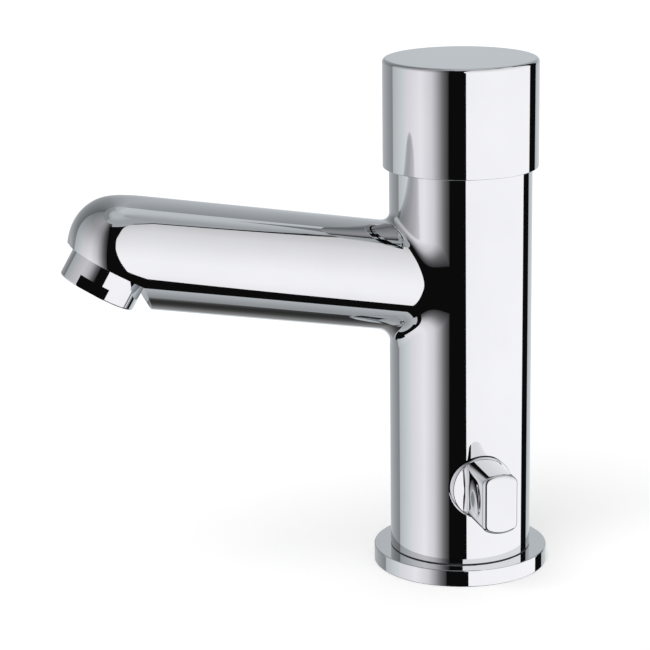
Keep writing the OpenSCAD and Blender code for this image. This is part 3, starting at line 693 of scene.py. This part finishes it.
def tap_body(chrome):
    """The cast body, with its seats, bores and waterways."""
    skin, blend_surface = body_skin()
    piece = new_piece("body", *skin)
    carve(piece, rod(OUTLET_PLACE, SPOT_R, 0, 2 * SPOUT_R, AROUND))
    carve(piece, rod(OUTLET_PLACE, NIPPLE_R, -CUT, NIPPLE_H), "UNION")
    carve(piece, rod(UPRIGHT, HOSE_SPACE_R, SPIGOT_Z - CUT, HOSE_SPACE_H))
    carve(piece, rod(KNOB_PLACE, RECESS_R, RECESS_X, COLUMN_R + CUT, AROUND))
    carve(piece, rod(KNOB_PLACE, GLAND_R, GLAND_X, RECESS_X + CUT))
    carve(piece, rod(KNOB_PLACE, MIXING_R, MIXING_X, GLAND_X + CUT))
    for side in (-1, 1):
        inlet = Matrix.Translation((side * INLET_X, 0, HOSE_SPACE_H))
        carve(piece, rod(inlet, INLET_R, -CUT, INLET_DEPTH))
        carve(piece, rod(inlet, PORT_R, -CUT, KNOB_Z - HOSE_SPACE_H))
        stud = Matrix.Translation((0, side * STUD_Y, HOSE_SPACE_H))
        carve(piece, rod(stud, STUD_R, -CUT, STUD_DEPTH))
    carve(piece, rod(UPRIGHT, RISER_R, KNOB_Z, CHAMBER_Z + CUT))
    carve(piece, rod(UPRIGHT, CHAMBER_R, CHAMBER_Z, SHOULDER_Z + CUT))
    carve(piece, rod(UPRIGHT, BORE_R, SHOULDER_Z, BODY_TOP + CUT))
    carve(piece, rod(SPOUT_PLACE, WATERWAY_R, 0, WATERWAY_END))
    throat = SPOUT_PLACE @ Matrix.Translation((0, THROAT_LIFT, 0))
    carve(piece, rod(throat, THROAT_R, WATERWAY_END - CUT, THROAT_END))
    carve(piece, rod(OUTLET_PLACE, OUTLET_BORE_R, -THROAT_R, NIPPLE_H + CUT))
    shade(piece, [
        round_wall(UPRIGHT, COLUMN_R),
        blend_surface,
        round_wall(SPOUT_PLACE, SPOUT_R),
        *[round_edge(SPOUT_PLACE, ring, at, radius) for ring, at, radius, _, _ in nose_bends()],
        round_wall(OUTLET_PLACE, SPOT_R),
        round_wall(OUTLET_PLACE, NIPPLE_R),
        round_wall(OUTLET_PLACE, OUTLET_BORE_R),
        round_wall(KNOB_PLACE, RECESS_R),
        round_wall(UPRIGHT, HOSE_SPACE_R),
        round_wall(UPRIGHT, BORE_R),
        round_wall(SPOUT_PLACE, WATERWAY_R),
    ])
    settle(piece, "body_casting", "tap", "chrome", chrome, "tap_body")


def base_flange(chrome):
    """The base flange, with rounded rims and a groove for its gasket."""
    rim = FLANGE_R - FLANGE_EDGE
    crown = FLANGE_H - FLANGE_EDGE
    groove_in = GASKET_MID_R - GASKET_W / 2
    groove_out = GASKET_MID_R + GASKET_W / 2
    profile = [(FLANGE_BORE_R, 0), (groove_in, 0), (groove_in, GASKET_H)]
    profile += [(groove_out, GASKET_H), (groove_out, 0)]
    profile += arc((rim, FLANGE_EDGE), FLANGE_EDGE, -90, 0)
    profile += arc((rim, crown), FLANGE_EDGE, 0, 90)
    profile += [(FLANGE_BORE_R, FLANGE_H)]
    piece = new_piece("flange", *turned(profile, ring=True))
    shade(piece, [
        round_wall(UPRIGHT, FLANGE_R),
        round_wall(UPRIGHT, FLANGE_BORE_R),
        round_edge(UPRIGHT, rim, FLANGE_EDGE, FLANGE_EDGE),
        round_edge(UPRIGHT, rim, crown, FLANGE_EDGE),
    ])
    settle(piece, "flange_plate", "tap", "chrome", chrome, "base_flange")


def foot_seal(rubber):
    """A thin black rubber ring laid in the bevelled seam between the column's foot and the flange: painted
    shade that darkens the seam line.
    """
    middle = COLUMN_R - SEAM_BEVEL / 2
    height = FLANGE_H + SEAM_BEVEL / 2
    section = arc((middle, height), SEAM_SHADE_R, 0, 360, 2 * EDGE_STEPS)[:-1]
    piece = new_piece("seal", *turned(section, ring=True))
    shade(piece, [round_edge(UPRIGHT, middle, height, SEAM_SHADE_R)])
    settle(piece, "foot_seal", "tap", "rubber", rubber)


def push_cap(chrome):
    """The push cap's shell, with a rounded upper edge and a softened lip."""
    lip = CAP_R - CAP_LIP_R
    shoulder = CAP_R - CAP_EDGE_R
    roof = CAP_TOP - CAP_ROOF
    profile = [(0, roof), (CAP_IN_R, roof), (CAP_IN_R, CAP_Z)]
    profile += arc((lip, CAP_Z + CAP_LIP_R), CAP_LIP_R, -90, 0)
    profile += arc((shoulder, CAP_TOP - CAP_EDGE_R), CAP_EDGE_R, 0, 90, 2 * EDGE_STEPS)
    profile += [(0, CAP_TOP)]
    piece = new_piece("cap", *turned(profile))
    screw = Matrix.Translation((0, 0, CAP_SCREW_Z)) @ Matrix.Rotation(-math.pi / 2, 4, "X")
    carve(piece, rod(screw, CAP_SCREW_R, CAP_R - CAP_SCREW_DEPTH, CAP_R + CUT))
    shade(piece, [
        round_wall(UPRIGHT, CAP_R),
        round_wall(UPRIGHT, CAP_IN_R),
        round_edge(UPRIGHT, lip, CAP_Z + CAP_LIP_R, CAP_LIP_R),
        round_edge(UPRIGHT, shoulder, CAP_TOP - CAP_EDGE_R, CAP_EDGE_R),
        round_wall(screw, CAP_SCREW_R),
    ])
    settle(piece, "cap_shell", "push", "chrome", chrome, "push_cap")


# Faces of a box whose corners run through X, then Y, then Z, with Z changing first
BOX_FACES = ((0, 1, 3, 2), (4, 6, 7, 5), (0, 4, 5, 1), (2, 3, 7, 6), (0, 2, 6, 4), (1, 5, 7, 3))


def outlet_ring(chrome):
    """The screwed outlet ring with its two wrench flats."""
    rim = RING_R - RING_EDGE
    profile = [(NIPPLE_R, 0), (RING_R, 0)]
    profile += arc((rim, RING_H - RING_EDGE), RING_EDGE, 0, 90)
    profile += [(RING_LIP_R, RING_H), (RING_LIP_R, RING_COLLAR_Z), (NIPPLE_R, RING_COLLAR_Z)]
    piece = new_piece("ring", *turned(profile, OUTLET_PLACE, ring=True))
    for side in (0, math.pi):
        turn = OUTLET_PLACE @ Matrix.Rotation(side + RING_TURN, 4, "Z")
        corners = [
            turn @ Vector((x, y, z))
            for x in (RING_FLATS / 2, RING_R + CUT)
            for y in (-RING_R, RING_R)
            for z in (RING_H - RING_FLAT_H, RING_H + CUT)
        ]
        carve(piece, new_piece("cutter", corners, BOX_FACES))
    shade(piece, [
        round_wall(OUTLET_PLACE, RING_R),
        round_wall(OUTLET_PLACE, NIPPLE_R),
        round_wall(OUTLET_PLACE, RING_LIP_R),
        round_edge(OUTLET_PLACE, rim, RING_H - RING_EDGE, RING_EDGE),
    ])
    settle(piece, "outlet_ring", "tap", "chrome", chrome, "aerator_ring")


def bar_outline():
    """Points and normals round the knob's bar: two flats, two round ends and four rounded corners."""
    corner_y = BAR_HALF_W - BAR_CORNER_R
    corner_z = math.sqrt((BAR_R - BAR_CORNER_R) ** 2 - corner_y ** 2)
    lean = math.degrees(math.atan2(corner_z, corner_y))
    points, normals = [], []
    for side in (0, 180):
        sign = 1 if side == 0 else -1
        for k in range(BAR_FLAT_STEPS):
            points.append((sign * BAR_HALF_W, sign * corner_z * (2 * k / BAR_FLAT_STEPS - 1)))
            normals.append((sign, 0))
        end = side + 180
        bends = [
            ((sign * corner_y, sign * corner_z), BAR_CORNER_R, side, side + lean, EDGE_STEPS),
            ((0, 0), BAR_R, side + lean, end - lean, 4 * EDGE_STEPS),
            ((-sign * corner_y, sign * corner_z), BAR_CORNER_R, end - lean, end, EDGE_STEPS),
        ]
        for centre, radius, first, last, steps in bends:
            points += arc(centre, radius, first, last, steps)[:-1]
            normals += arc((0, 0), 1, first, last, steps)[:-1]
    return points, normals


def dimple(x, z):
    """Depth of the oval finger dimple at a place on the bar's flat."""
    middle = (DISC_X + KNOB_FRONT) / 2
    inside = 1 - (2 * (x - middle) / DIMPLE_LEN) ** 2 - (2 * z / DIMPLE_H) ** 2
    return DIMPLE_DEPTH * max(inside, 0) ** DIMPLE_FADE


def temperature_knob(chrome):
    """The knob: a disc in the column's recess, and a bar with rounded edges and a dimple in each flat."""
    outline, normals = bar_outline()
    rings = []

    def bar_ring(x, out, foot=False):
        """Adds a ring round the bar, grown outwards. At the foot the flats grow and the round ends don't."""
        ring = []
        for (y, z), (ny, nz) in zip(outline, normals):
            grow = out * ny ** BAR_FOOT_FADE if foot else out
            sink = dimple(x, z) if abs(ny) == 1 else 0
            ring.append(Vector((x, y + ny * (grow - sink), z + nz * grow)))
        rings.append(ring)

    def disc_ring(x, r):
        """Adds a round ring of the disc."""
        rings.append([Vector((x, *(r * Vector(p).normalized()))) for p in outline])

    def disc_fall(p):
        """How far the disc's slightly domed face has fallen at a point."""
        near = BAR_HALF_W + BAR_FOOT_R
        share = (math.hypot(p.y, p.z) - near) / (KNOB_R - DISC_EDGE_R - near)
        return DISC_FALL * min(max(share, 0), 1)

    disc_ring(KNOB_BACK, 0)
    disc_ring(KNOB_BACK, KNOB_R)
    for r, x in arc((KNOB_R - DISC_EDGE_R, DISC_X - DISC_FALL - DISC_EDGE_R), DISC_EDGE_R, 0, 90):
        disc_ring(x, r)
    face = len(rings)
    for out, x in arc((BAR_FOOT_R, DISC_X + BAR_FOOT_R), BAR_FOOT_R, -90, -180):
        bar_ring(x, out, foot=True)
        rings[-1] = [p - Vector((disc_fall(p) * out / BAR_FOOT_R, 0, 0)) for p in rings[-1]]
    rim, foot = rings[face - 1], rings[face]
    holds = (DISC_HOLD, 1 - DISC_HOLD)
    rings[face:face] = [[a.lerp(b, share) for a, b in zip(rim, foot)] for share in holds]
    first = DISC_X + BAR_FOOT_R
    last = KNOB_FRONT - BAR_EDGE_R
    for k in range(1, BAR_SIDE_STEPS):
        bar_ring(first + (last - first) * k / BAR_SIDE_STEPS, 0)
    for out, x in arc((-BAR_EDGE_R, last), BAR_EDGE_R, 0, 90):
        bar_ring(x, out)
    bar_ring(KNOB_FRONT, -BAR_EDGE_R - BAR_FRONT_INSET)
    points, faces = strips(rings)
    faces.append(tuple(range(len(points) - len(outline), len(points))))
    for p in points:
        p.z += KNOB_Z
    piece = new_piece("knob", points, faces)
    carve(piece, rod(KNOB_PLACE, SPINDLE_R, KNOB_BACK - CUT, DISC_X + SPINDLE_HOLD))
    screw = Matrix.Translation((DISC_X + SPINDLE_HOLD / 2, 0, KNOB_Z))
    carve(piece, rod(screw, KNOB_SCREW_R, -KNOB_R - CUT, 0))
    piece.data.shade_smooth()
    piece.data.set_sharp_from_angle(angle=KNOB_SMOOTH)
    settle(piece, "knob_handle", "knob", "chrome", chrome, "temperature_knob")


def return_spring(steel):
    """The return spring as one round wire."""
    count = round(SPRING_TURNS * SPRING_AROUND)
    low = SPRING_LOW + WIRE_R + SPRING_GAP
    rise = SPRING_HIGH - SPRING_LOW - 2 * WIRE_R - 2 * SPRING_GAP
    bends = [2 * math.pi * k / WIRE_AROUND for k in range(WIRE_AROUND)]
    rows = []
    for k in range(count + 1):
        turn = 2 * math.pi * k / SPRING_AROUND
        out = Vector((math.cos(turn), math.sin(turn), 0))
        middle = out * SPRING_R + UP * (low + rise * k / count)
        rows.append([middle + WIRE_R * (out * math.cos(b) + UP * math.sin(b)) for b in bends])
    points, faces = strips(rows)
    faces = [tuple(reversed(f)) for f in faces]
    faces.append(tuple(range(WIRE_AROUND)))
    faces.append(tuple(reversed(range(len(points) - WIRE_AROUND, len(points)))))
    piece = new_piece("spring", points, faces)
    piece.data.shade_smooth()
    piece.data.set_sharp_from_angle(angle=SPRING_SMOOTH)
    settle(piece, "spring_coil", "tap", "steel", steel, "return_spring")
    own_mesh(piece)


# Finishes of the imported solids

def finish_packed_nodes(slot_materials):
    """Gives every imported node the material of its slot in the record."""
    for part in frame["record"]["subparts"]:
        node = frame["nodes"][part["node"]]
        node.data.materials.clear()
        node.data.materials.append(slot_materials[part["material_slot"]])


# Studio, in metres

# Camera, in the part's frame: where it stands, where it looks and how long its lens is
CAMERA_AZIMUTH = math.radians(72)
CAMERA_REACH = 0.74963
CAMERA_HEIGHT = 0.27427
LOOK_AZIMUTH = math.radians(75.223)
LOOK_DOWN = math.radians(14.762)
CAMERA_ROLL = math.radians(-0.72)
FOCAL_PX = 2485.72
FRAME_PX = 650
SENSOR_MM = 36


def photo_camera():
    """The camera at the photograph's place and angle."""
    data = bpy.data.cameras.new("photo_camera")
    data.sensor_width = SENSOR_MM
    data.lens = SENSOR_MM * FOCAL_PX / FRAME_PX
    camera = add_object("photo_camera", data)
    level = Vector((-math.sin(LOOK_AZIMUTH), math.cos(LOOK_AZIMUTH), 0))
    ahead = level * math.cos(LOOK_DOWN) - UP * math.sin(LOOK_DOWN)
    right = Vector((math.cos(LOOK_AZIMUTH), math.sin(LOOK_AZIMUTH), 0))
    above = right.cross(ahead)
    across = right * math.cos(CAMERA_ROLL) + above * math.sin(CAMERA_ROLL)
    upward = above * math.cos(CAMERA_ROLL) - right * math.sin(CAMERA_ROLL)
    spot = Vector((
        CAMERA_REACH * math.sin(CAMERA_AZIMUTH),
        -CAMERA_REACH * math.cos(CAMERA_AZIMUTH),
        CAMERA_HEIGHT,
    ))
    camera.matrix_world = Matrix.Translation(spot) @ Matrix((across, upward, -ahead)).transposed().to_4x4()
    bpy.context.scene.camera = camera


# Studio panels that the chrome reflects. Directions and heights are in degrees, seen from the tap: direction
# 0 is towards the camera and positive to its right. Each panel has its tint, the stations that its two sides
# run through, as height, left and right, its brightness by direction, and the share of that by height. Later
# panels stand in front of earlier ones.
COOL = (0.91, 0.96, 1.0)
LAVENDER = (0.965, 0.955, 1.0)
PEARL = (0.985, 0.98, 1.0)
NEUTRAL = (1.0, 1.0, 1.0)
BLACK = ((0, 0.004),)
EVEN = ((0, 1.0),)
LEFT_LIGHT = ((-118, 0.56), (-88, 0.8), (-60, 0.96), (-43, 0.75), (-26, 0.17), (-15, 0.0))
LEFT_FADE = ((-12, 1.0), (0, 0.9), (13, 0.8), (34, 0.53), (45, 0.42), (66, 0.4))
PANELS = (
    ("surround", COOL, ((-90, -180, 180), (90, -180, 180)), EVEN,
     ((-90, 0.3), (-67, 0.55), (60, 0.5), (67, 0.42), (75, 0.43), (83, 0.55))),
    ("ceiling_back", COOL, ((50, 75, 190), (83, 75, 190)),
     ((75, 0.41), (95, 0.42), (130, 0.62), (165, 0.66), (190, 0.5)), EVEN),
    ("ceiling_left", COOL, ((50, 195, 305), (76, 195, 305)),
     ((195, 0.36), (230, 0.29), (305, 0.29)), EVEN),
    ("ceiling_shade", COOL, ((58, 96, 136), (65, 96, 136)), ((0, 0.22),), EVEN),
    ("ground_back", NEUTRAL, ((-90, 135, 225), (-36, 135, 225)), EVEN,
     ((-90, 0.3), (-84, 0.06), (-76, 0.025), (-64, 0.06), (-50, 0.22), (-36, 0.33))),
    ("low_flag", NEUTRAL, ((-58, -130, 128), (-46, -130, 128)), BLACK, EVEN),
    ("left_low_flag", NEUTRAL, ((-65, -130, -50), (-36, -130, -50)), BLACK, EVEN),
    ("back_wall", COOL, ((-36, 141, 242), (54, 141, 242), (66, 195, 242)),
     ((141, 0.56), (180, 0.83), (195, 0.55), (242, 0.27)),
     ((-5, 1.0), (10, 0.74), (30, 0.62), (54, 0.54))),
    ("left_wing", COOL, ((-40, -118, -88), (66, -118, -88)), LEFT_LIGHT, LEFT_FADE),
    ("left_wall", LAVENDER, ((-48, -88, -15), (66, -88, -15)), LEFT_LIGHT, LEFT_FADE),
    ("camera_flag", NEUTRAL,
     ((-65, -5, 50), (-58, -17, 70), (30, -17, 70), (50, -20, 90),
      (60, -20, 97), (62, 25, 97), (65.4, 50, 97)), BLACK, EVEN),
    ("softbox", PEARL,
     ((-51.5, 38, 120), (-49, 29, 120), (-43, 22, 120), (-32, 15, 120), (-12, 8.5, 120), (12, 5, 120),
      (30, 5.5, 120), (44, 11, 120), (56, 19, 110), (62, 30, 99), (64.2, 46, 96)),
     ((5, 0.97), (60, 1.0)),
     ((-51, 1.0), (-30, 1.09), (-6, 1.09), (12, 1.02), (30, 0.92), (50, 0.81), (64, 0.65))),
    ("back_flag", NEUTRAL, ((-65, 120.5, 141), (50, 120.5, 141)), BLACK, EVEN),
)
# Distance of the furthest panel from the panels' centre, the gap to the next one, and degrees in a step
PANEL_DISTANCE = 3.0
PANEL_GAP = 0.03
PANEL_STEP = 3.0
PANEL_CENTRE = Vector((0, 0, 0.09))


def panel_direction(turn, height):
    """Unit vector towards a place in the studio, from its direction and height in degrees."""
    around = CAMERA_AZIMUTH + math.radians(turn)
    tall = math.radians(height)
    level = Vector((math.sin(around), -math.cos(around), 0))
    return level * math.cos(tall) + UP * math.sin(tall)


def smooth_station(stations, t):
    """A station on a smooth curve through the given ones, which are at the whole numbers of t."""
    k = min(int(t), len(stations) - 2)
    f = t - k
    last = len(stations) - 1
    before, low, high, after = (np.array(stations[min(max(k + d, 0), last)]) for d in (-1, 0, 1, 2))
    rise = (high - before) / 2
    fall = (after - low) / 2
    return (
        low * (2 * f ** 3 - 3 * f ** 2 + 1) + rise * (f ** 3 - 2 * f ** 2 + f)
        + high * (3 * f ** 2 - 2 * f ** 3) + fall * (f ** 3 - f ** 2)
    )


def read_pairs(pairs, value):
    """What a list of pairs gives for a value, straight between its pairs and even beyond them."""
    places, results = zip(*pairs)
    return float(np.interp(value, places, results))


def panel_material():
    """Light whose strength is stored in the panel's mesh and whose tint is the panel's own colour."""
    material = bpy.data.materials.new("panel_light")
    material.use_nodes = True
    tree = material.node_tree
    tree.nodes.clear()
    level = tree.nodes.new("ShaderNodeAttribute")
    level.attribute_name = "level"
    panel = tree.nodes.new("ShaderNodeObjectInfo")
    glow = tree.nodes.new("ShaderNodeEmission")
    output = tree.nodes.new("ShaderNodeOutputMaterial")
    tree.links.new(level.outputs["Fac"], glow.inputs["Strength"])
    tree.links.new(panel.outputs["Color"], glow.inputs["Color"])
    tree.links.new(glow.outputs["Emission"], output.inputs["Surface"])
    return material


def studio_panels():
    """Curved panels round the tap, which only its reflections see."""
    material = panel_material()
    for order, (name, colour, stations, light, share) in enumerate(PANELS):
        distance = PANEL_DISTANCE - PANEL_GAP * order
        reach = max(right - left for _, left, right in stations)
        wide = math.ceil(reach / PANEL_STEP)
        tall = math.ceil((stations[-1][0] - stations[0][0]) / PANEL_STEP)
        rows, levels = [], []
        for j in range(tall + 1):
            height, left, right = smooth_station(stations, (len(stations) - 1) * j / tall)
            turns = [left + (right - left) * k / wide for k in range(wide + 1)]
            rows.append([PANEL_CENTRE + panel_direction(turn, height) * distance for turn in turns])
            levels += [read_pairs(light, turn) * read_pairs(share, height) for turn in turns]
        mesh = new_mesh(name, *strips(rows, closed=False))
        mesh.attributes.new("level", "FLOAT", "POINT").data.foreach_set("value", levels)
        mesh.materials.append(material)
        panel = add_object("panel_" + name, mesh)
        panel.color = (*colour, 1)
        panel.visible_camera = False
        panel.visible_diffuse = False
        panel.visible_shadow = False
        panel.visible_transmission = False


FLOOR_HALF = 6.0
FLOOR_GLOW = 0.3
FLOOR_ROUGHNESS = 0.9


def pale_floor():
    """A plain white floor that takes the tap's shadow."""
    corners = [(x * FLOOR_HALF, y * FLOOR_HALF, 0) for x, y in ((-1, -1), (1, -1), (1, 1), (-1, 1))]
    mesh = new_mesh("floor", corners, [(0, 1, 2, 3)])
    material, tree, shader = new_material("floor_paint")
    clouds = noise(tree, scale=3, detail=2)
    tint(tree, clouds, (0.88, 0.88, 0.88), (0.9, 0.9, 0.9), shader.inputs["Base Color"])
    shader.inputs["Roughness"].default_value = FLOOR_ROUGHNESS
    shader.inputs["Specular IOR Level"].default_value = 0
    shader.inputs["Emission Color"].default_value = (1, 1, 1, 1)
    path = tree.nodes.new("ShaderNodeLightPath")
    seen = math_node(tree, "MULTIPLY")
    seen.inputs[1].default_value = FLOOR_GLOW
    tree.links.new(path.outputs["Is Camera Ray"], seen.inputs[0])
    tree.links.new(seen.outputs["Value"], shader.inputs["Emission Strength"])
    mesh.materials.append(material)
    floor = add_object("floor", mesh)
    floor.visible_glossy = False


WORLD_FILL = 0.62
KEY_STRENGTH = 1.0
KEY_SPREAD = math.radians(40)
KEY_PLACE = Vector((0.75, -0.9, 1.5))


def studio_light():
    """A white surround for the camera and for reflections, an even fill, and one large soft lamp."""
    world = bpy.data.worlds.new("studio")
    bpy.context.scene.world = world
    world.use_nodes = True
    tree = world.node_tree
    tree.nodes.clear()
    path = tree.nodes.new("ShaderNodeLightPath")
    seen = math_node(tree, "MAXIMUM")
    seen_through = math_node(tree, "MAXIMUM")
    fill = tree.nodes.new("ShaderNodeBackground")
    fill.inputs["Color"].default_value = (1, 1, 1, 1)
    fill.inputs["Strength"].default_value = WORLD_FILL
    white = tree.nodes.new("ShaderNodeBackground")
    white.inputs["Color"].default_value = (1, 1, 1, 1)
    mix = tree.nodes.new("ShaderNodeMixShader")
    output = tree.nodes.new("ShaderNodeOutputWorld")
    tree.links.new(path.outputs["Is Camera Ray"], seen.inputs[0])
    tree.links.new(path.outputs["Is Glossy Ray"], seen.inputs[1])
    tree.links.new(seen.outputs["Value"], seen_through.inputs[0])
    tree.links.new(path.outputs["Is Transmission Ray"], seen_through.inputs[1])
    tree.links.new(seen_through.outputs["Value"], mix.inputs["Fac"])
    tree.links.new(fill.outputs["Background"], mix.inputs[1])
    tree.links.new(white.outputs["Background"], mix.inputs[2])
    tree.links.new(mix.outputs["Shader"], output.inputs["Surface"])
    lamp = bpy.data.lights.new("key", "SUN")
    lamp.energy = KEY_STRENGTH
    lamp.angle = KEY_SPREAD
    key = add_object("key", lamp)
    key.location = KEY_PLACE
    key.rotation_mode = "QUATERNION"
    key.rotation_quaternion = (-KEY_PLACE).to_track_quat("-Z", "Y")
    key.visible_glossy = False
    key.visible_camera = False


# Heights of the grain on rubber and on plastic, in metres
RUBBER_GRAIN = 0.00002
PLASTIC_GRAIN = 0.000008


def main():
    """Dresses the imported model, then sets up its studio."""
    bpy.context.scene.view_settings.view_transform = "Standard"
    chrome = chrome_plate()
    steel = turned_metal("drawn_steel", (0.56, 0.57, 0.59), (0.64, 0.65, 0.67), rough=0.3)
    brass = turned_metal("turned_brass", (0.74, 0.57, 0.27), (0.82, 0.66, 0.36), rough=0.26)
    rubber = moulded("black_rubber", (0.035, 0.035, 0.04), (0.06, 0.06, 0.065), rough=0.62, grain=RUBBER_GRAIN)
    white = moulded("white_plastic", (0.82, 0.82, 0.8), (0.88, 0.88, 0.86), rough=0.42, grain=PLASTIC_GRAIN)
    grey = moulded("grey_plastic", (0.4, 0.42, 0.45), (0.48, 0.5, 0.53), rough=0.45, grain=PLASTIC_GRAIN)
    finish_packed_nodes({
        "chrome": chrome,
        "brass": brass,
        "steel": steel,
        "rubber": rubber,
        "white_plastic": white,
        "grey_plastic": grey,
    })
    tap_body(chrome)
    base_flange(chrome)
    # A black ring in the column's foot seam, as painted shade
    foot_seal(rubber)
    push_cap(chrome)
    outlet_ring(chrome)
    temperature_knob(chrome)
    return_spring(steel)
    photo_camera()
    studio_panels()
    pale_floor()
    studio_light()


main()
